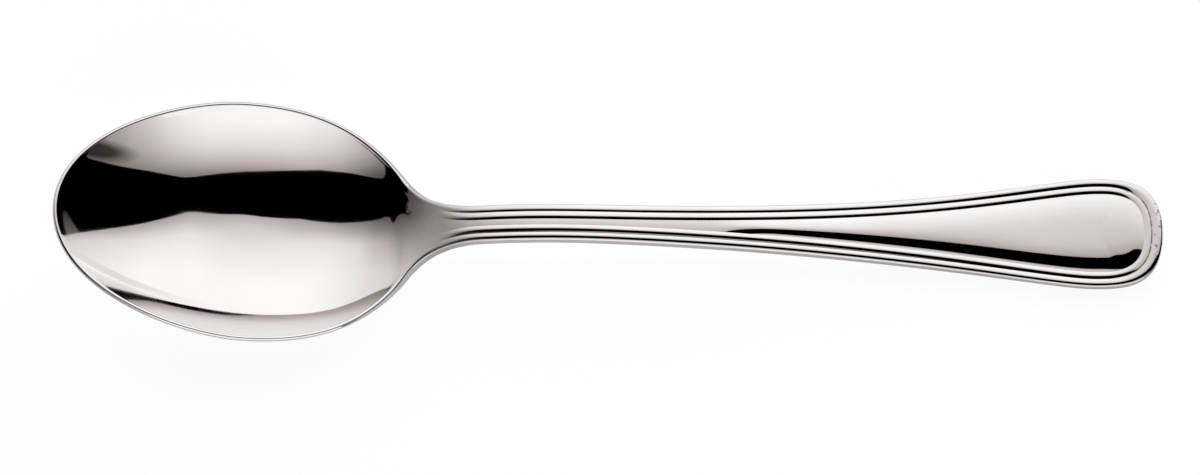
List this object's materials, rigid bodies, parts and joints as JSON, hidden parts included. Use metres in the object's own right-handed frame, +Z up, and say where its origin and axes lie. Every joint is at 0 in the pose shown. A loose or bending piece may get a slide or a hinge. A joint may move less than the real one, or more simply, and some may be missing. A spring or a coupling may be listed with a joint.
{
  "type": "demitasse spoon",
  "caption": "Small polished steel coffee spoon with an oval dished bowl, a slim arched stem and a flared round-ended handle edged with raised threads round a cushioned panel",
  "frame": {"origin": "middle of the spoon's bounding box, on the table it rests on", "axes": "+X runs along the spoon from the bowl tip to the handle end, +Z up, +Y across"},
  "size_m": [0.11, 0.0244, 0.0119],
  "materials": {
    "polished_steel": "mirror polished stainless steel with fine wipe marks"
  },
  "bodies": {
    "root": {"bowl": "polished_steel", "neck": "polished_steel", "handle_core": "polished_steel", "outer_thread": "polished_steel", "inner_thread": "polished_steel", "centre_panel": "polished_steel"}
  },
  "joints": []
}
